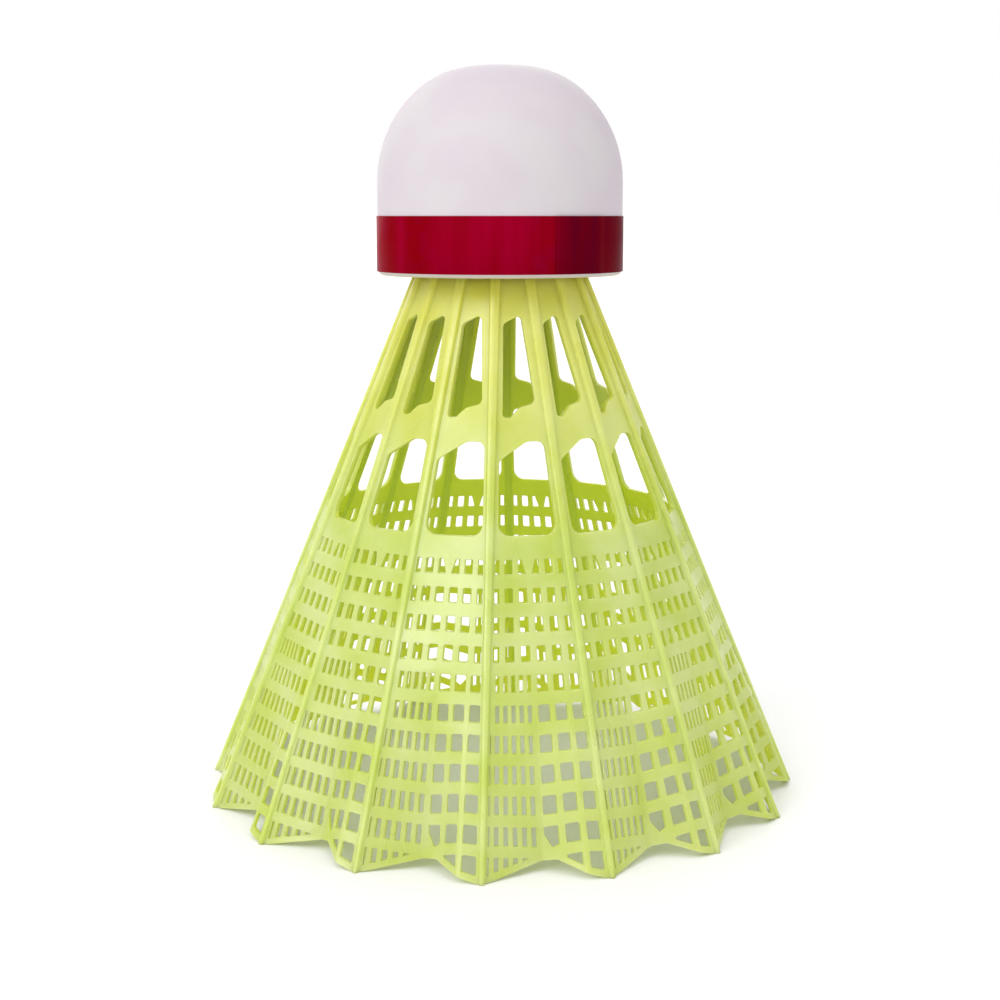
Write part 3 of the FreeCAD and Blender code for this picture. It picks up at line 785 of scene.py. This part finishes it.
# ---------------------------------------------------------------------------------------------
# Materials
# ---------------------------------------------------------------------------------------------
class Nodes:
    """A short way to write a material's node tree."""

    def __init__(self, name):
        self.material = bpy.data.materials.new(name)
        self.material.use_nodes = True
        self.tree = self.material.node_tree
        self.shader = self.tree.nodes["Principled BSDF"]
        self.place = self.tree.nodes.new("ShaderNodeTexCoord").outputs["Object"]

    def link(self, start, end):
        self.tree.links.new(start, end)

    def height(self):
        node = self.tree.nodes.new("ShaderNodeSeparateXYZ")
        self.link(self.place, node.inputs["Vector"])
        return node.outputs["Z"]

    def attribute(self, name):
        node = self.tree.nodes.new("ShaderNodeAttribute")
        node.attribute_name = name
        return node.outputs["Fac"]

    def stretched(self, scale):
        node = self.tree.nodes.new("ShaderNodeMapping")
        node.inputs["Scale"].default_value = scale
        self.link(self.place, node.inputs["Vector"])
        return node.outputs["Vector"]

    def noise(self, scale, detail=3.0, roughness=0.5, stretch=None):
        node = self.tree.nodes.new("ShaderNodeTexNoise")
        node.inputs["Scale"].default_value = scale
        node.inputs["Detail"].default_value = detail
        node.inputs["Roughness"].default_value = roughness
        self.link(self.stretched(stretch) if stretch else self.place, node.inputs["Vector"])
        return node.outputs["Fac"]

    def cells(self, scale, feature="F1", output="Distance"):
        node = self.tree.nodes.new("ShaderNodeTexVoronoi")
        node.feature = feature
        node.inputs["Scale"].default_value = scale
        self.link(self.place, node.inputs["Vector"])
        return node.outputs[output]

    def ramp(self, source, *stops):
        node = self.tree.nodes.new("ShaderNodeValToRGB")
        ramp = node.color_ramp
        while len(ramp.elements) < len(stops):
            ramp.elements.new(0.5)
        for element, (position, colour) in zip(ramp.elements, stops):
            element.position = position
            element.color = (*colour, 1.0)
        self.link(source, node.inputs["Fac"])
        return node.outputs["Color"]

    def span(self, source, low, high, start=0.3, end=0.7):
        node = self.tree.nodes.new("ShaderNodeMapRange")
        for name, value in (("From Min", start), ("From Max", end), ("To Min", low), ("To Max", high)):
            node.inputs[name].default_value = value
        self.link(source, node.inputs["Value"])
        return node.outputs["Result"]

    def blend(self, factor, first, second, mode="MIX"):
        node = self.tree.nodes.new("ShaderNodeMix")
        node.data_type = "RGBA"
        node.blend_type = mode
        for socket, value in ((0, factor), (6, first), (7, second)):
            if isinstance(value, float):
                node.inputs[socket].default_value = value
            elif isinstance(value, tuple):
                node.inputs[socket].default_value = (*value, 1.0)
            else:
                self.link(value, node.inputs[socket])
        return node.outputs[2]

    def bump(self, height, distance, strength, before=None):
        node = self.tree.nodes.new("ShaderNodeBump")
        node.inputs["Distance"].default_value = distance * MM
        node.inputs["Strength"].default_value = strength
        self.link(height, node.inputs["Height"])
        if before is not None:
            self.link(before, node.inputs["Normal"])
        return node.outputs["Normal"]

    def finish(self, colour, roughness, normal):
        self.link(colour, self.shader.inputs["Base Color"])
        self.link(roughness, self.shader.inputs["Roughness"])
        self.link(normal, self.shader.inputs["Normal"])
        return self.material

    def set(self, name, value):
        self.shader.inputs[name].default_value = value


def skin_material():
    nodes = Nodes("coated_skin")
    clouds = nodes.noise(110.0, 2.0)
    colour = nodes.ramp(clouds, (0.35, SKIN_LILAC), (0.65, SKIN_WHITE))
    hem = nodes.span(nodes.height(), 1.0, 0.0, HEAD_BASE * MM, BAND_BASE * MM)
    colour = nodes.blend(hem, colour, HEM_CREAM)
    pores = nodes.noise(5200.0, 4.0, roughness=0.6)
    creases = nodes.cells(2100.0)
    rough = nodes.span(pores, 0.5, 0.62)
    pored = nodes.bump(pores, distance=0.02, strength=0.35)
    normal = nodes.bump(creases, distance=0.015, strength=0.25, before=pored)
    nodes.set("Specular IOR Level", 0.25)
    return nodes.finish(colour, rough, normal)


def film_material():
    nodes = Nodes("band_film")
    streaks = nodes.noise(240.0, 3.0, roughness=0.55, stretch=(1.0, 1.0, 0.12))
    blotches = nodes.noise(330.0, 2.0)
    colour = nodes.ramp(streaks, (0.35, FILM_DEEP_RED), (0.65, FILM_RED))
    # Painted reflection tint on the film, in blotches.
    reflection_tint = nodes.span(blotches, 0.0, 0.35, start=0.5, end=0.8)
    colour = nodes.blend(reflection_tint, colour, FILM_REFLECTION_PURPLE)
    # Darker film where it lies doubled, and painted shade on the band's right side.
    dark = nodes.ramp(streaks, (0.38, LAP_AND_SHADE_PURPLE), (0.6, LAP_AND_SHADE_RED))
    colour = nodes.blend(nodes.attribute("lap_and_painted_shade"), colour, dark)
    rough = nodes.span(streaks, 0.2, 0.32)
    ripple = nodes.noise(190.0, 2.0, stretch=(1.0, 1.0, 0.08))
    grain = nodes.noise(3000.0, 2.0)
    rippled = nodes.bump(ripple, distance=0.05, strength=0.35)
    normal = nodes.bump(grain, distance=0.002, strength=0.2, before=rippled)
    nodes.set("Specular IOR Level", 0.004)
    return nodes.finish(colour, rough, normal)


def nylon_material():
    nodes = Nodes("nylon")
    # Uneven tone of the nylon, whose pale patches are partly painted sheen.
    tone_and_sheen = nodes.noise(150.0, 3.0)
    thin = nodes.ramp(tone_and_sheen, (0.35, THIN_GREEN), (0.64, THIN_PALE_SHEEN))
    thick = nodes.ramp(tone_and_sheen, (0.35, THICK_YELLOW), (0.7, THICK_PALE_SHEEN))
    height = nodes.height()
    upward = nodes.span(height, 0.0, 1.0, THIN_BELOW * MM, THICK_ABOVE * MM)
    colour = nodes.blend(upward, thin, thick)
    # Painted light on the inner skin low down, and painted shade on it high up.
    inside = nodes.blend(upward, INNER_LIT_GREEN, INNER_SHADED_OLIVE)
    colour = nodes.blend(nodes.attribute("inner_skin"), colour, inside)
    # Painted shade in the corner under the head, darkening towards the head.
    corner_base = CORE_BASE - SHADED_DEPTH
    corner = nodes.span(height, 0.0, 0.75, corner_base * MM, CORE_BASE * MM)
    colour = nodes.blend(corner, colour, CORNER_SHADE_OLIVE)
    grain = nodes.noise(6500.0, 3.0)
    polish = nodes.noise(95.0, 2.0)
    rough = nodes.span(polish, 0.24, 0.52, start=0.35, end=0.65)
    sink = nodes.noise(520.0, 2.0)
    uneven = nodes.bump(sink, distance=0.03, strength=0.3)
    normal = nodes.bump(grain, distance=0.006, strength=0.25, before=uneven)
    nodes.set("Specular IOR Level", 0.75)
    nodes.set("Subsurface Weight", 0.85)
    nodes.set("Subsurface Radius", (1.0, 1.0, 0.45))
    nodes.set("Subsurface Scale", 2.0 * MM)
    return nodes.finish(colour, rough, normal)


def cork_material():
    nodes = Nodes("cork")
    grains = nodes.cells(900.0, output="Color")
    split = nodes.tree.nodes.new("ShaderNodeSeparateColor")
    nodes.link(grains, split.inputs["Color"])
    shade = split.outputs[0]
    colour = nodes.ramp(shade, (0.1, CORK_DARK), (0.5, CORK_BROWN), (0.9, CORK_LIGHT))
    edges = nodes.cells(900.0, "DISTANCE_TO_EDGE")
    seams = nodes.ramp(edges, (0.0, CORK_SEAM), (0.08, WHITE))
    colour = nodes.blend(1.0, colour, seams, "MULTIPLY")
    rough = nodes.span(shade, 0.8, 0.95, start=0.0, end=1.0)
    pits = nodes.noise(4200.0, 4.0)
    pitted = nodes.bump(pits, distance=0.05, strength=0.4)
    normal = nodes.bump(edges, distance=0.1, strength=0.6, before=pitted)
    return nodes.finish(colour, rough, normal)


def glue_material():
    nodes = Nodes("adhesive")
    pools = nodes.noise(420.0, 2.0)
    colour = nodes.ramp(pools, (0.3, GLUE_AMBER), (0.7, GLUE_HONEY))
    rough = nodes.span(pools, 0.08, 0.2)
    normal = nodes.bump(pools, distance=0.08, strength=0.5)
    nodes.set("Coat Weight", 0.6)
    return nodes.finish(colour, rough, normal)


def floor_material():
    nodes = Nodes("studio_floor")
    clouds = nodes.noise(6.0, 2.0)
    colour = nodes.ramp(clouds, (0.3, FLOOR_GREY), (0.7, FLOOR_PALE))
    rough = nodes.span(clouds, 0.6, 0.75)
    grain = nodes.noise(900.0, 2.0)
    normal = nodes.bump(grain, distance=0.02, strength=0.1)
    return nodes.finish(colour, rough, normal)


# ---------------------------------------------------------------------------------------------
# Pieces
# ---------------------------------------------------------------------------------------------
def make_head_cover():
    mesh = lathe("head_cover_skin", cover_profile(), HEAD_STEPS, hem_puckers)
    return new_piece("head_cover_skin", mesh, skin_material(), "coated_skin", "head_cover")


def darkness(point):
    # How dark the film is: the doubled film and painted shade, growing over the doubled part and
    # fading well beyond it, as the photo shows.
    angle = math.degrees(math.atan2(point.x, -point.y)) % CIRCLE
    outer = math.hypot(point.x, point.y) > (HEAD_RADIUS + FILM + FILM_EDGE) * MM
    if angle < LAP_START - LAP_MARGIN or (angle < LAP_START + LAP_MARGIN and not outer):
        return 0.0
    rise = DARK_FIRST + (1 - DARK_FIRST) * min(1.0, max(0.0, angle - LAP_START) / DARK_RISE)
    return rise * min(1.0, max(0.0, (DARK_END + DARK_FADE - angle) / DARK_FADE))


def make_band():
    mesh = band_mesh()
    # Share of the doubled film's darkening and of the painted shade on the band's right side, at each
    # point.
    lap_and_painted_shade = mesh.attributes.new("lap_and_painted_shade", "FLOAT", "POINT")
    for vertex in mesh.vertices:
        lap_and_painted_shade.data[vertex.index].value = darkness(vertex.co)
    return new_piece("speed_band_film", mesh, film_material(), "band_film", "speed_band")


def make_skirt():
    return new_piece("skirt_moulding", skirt_mesh(), nylon_material(), "nylon", "skirt")


def dress_node(name, material):
    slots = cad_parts[name].data.materials
    slots.clear()
    slots.append(material)


# ---------------------------------------------------------------------------------------------
# Studio
# ---------------------------------------------------------------------------------------------
def make_floor():
    mesh = bpy.data.meshes.new("floor")
    work = bmesh.new()
    sides = ((-1, -1), (1, -1), (1, 1), (-1, 1))
    work.faces.new([work.verts.new((x * FLOOR_REACH, y * FLOOR_REACH, 0.0)) for x, y in sides])
    work.to_mesh(mesh)
    work.free()
    mesh.materials.append(floor_material())
    floor = bpy.data.objects.new("floor", mesh)
    bpy.context.scene.collection.objects.link(floor)
    floor.location.z = CAD_BOX[0].z


def soft_sun(name, place, aim, spread, power):
    light = bpy.data.lights.new(name, "SUN")
    light.angle = math.radians(spread)
    light.energy = power
    item = bpy.data.objects.new(name, light)
    item.location = place
    item.rotation_euler = (Vector(aim) - Vector(place)).to_track_quat("-Z", "Y").to_euler()
    bpy.context.scene.collection.objects.link(item)


def make_world(seen, lit):
    # A white backdrop as bright as seen, while it lights the object only as much as lit.
    world = bpy.data.worlds.new("studio")
    bpy.context.scene.world = world
    world.use_nodes = True
    tree = world.node_tree
    background = tree.nodes["Background"]
    background.inputs["Color"].default_value = (1.0, 1.0, 1.0, 1.0)
    rays = tree.nodes.new("ShaderNodeLightPath")
    level = tree.nodes.new("ShaderNodeMapRange")
    level.inputs["To Min"].default_value = lit
    level.inputs["To Max"].default_value = seen
    tree.links.new(rays.outputs["Is Camera Ray"], level.inputs["Value"])
    tree.links.new(level.outputs["Result"], background.inputs["Strength"])


def make_lights():
    make_world(BACKDROP_SEEN, BACKDROP_LIGHT)
    middle = (0.0, 0.0, 0.04)
    soft_sun("key", (-0.6, -0.75, 0.8), middle, spread=40.0, power=1.15)
    soft_sun("top", (0.1, -0.1, 1.0), middle, spread=70.0, power=0.5)
    soft_sun("back", (-0.2, 1.0, 0.45), middle, spread=60.0, power=0.7)


def make_camera():
    camera = bpy.data.cameras.new("camera")
    item = bpy.data.objects.new("camera", camera)
    bpy.context.scene.collection.objects.link(item)
    item.location = (CAMERA_AWAY * math.sin(CAMERA_SIDE), -CAMERA_AWAY * math.cos(CAMERA_SIDE),
                     CAMERA_HEIGHT)
    item.rotation_euler = (math.pi / 2 - CAMERA_TILT, 0.0, CAMERA_SIDE)
    camera.lens = CAMERA_LENS
    camera.clip_start = CAMERA_NEAR
    bpy.context.scene.camera = item


bpy.context.scene.view_settings.view_transform = "Standard"
make_head_cover()
make_band()
make_skirt()
dress_node("cork_core", cork_material())
dress_node("plug_adhesive", glue_material())
make_floor()
make_lights()
make_camera()
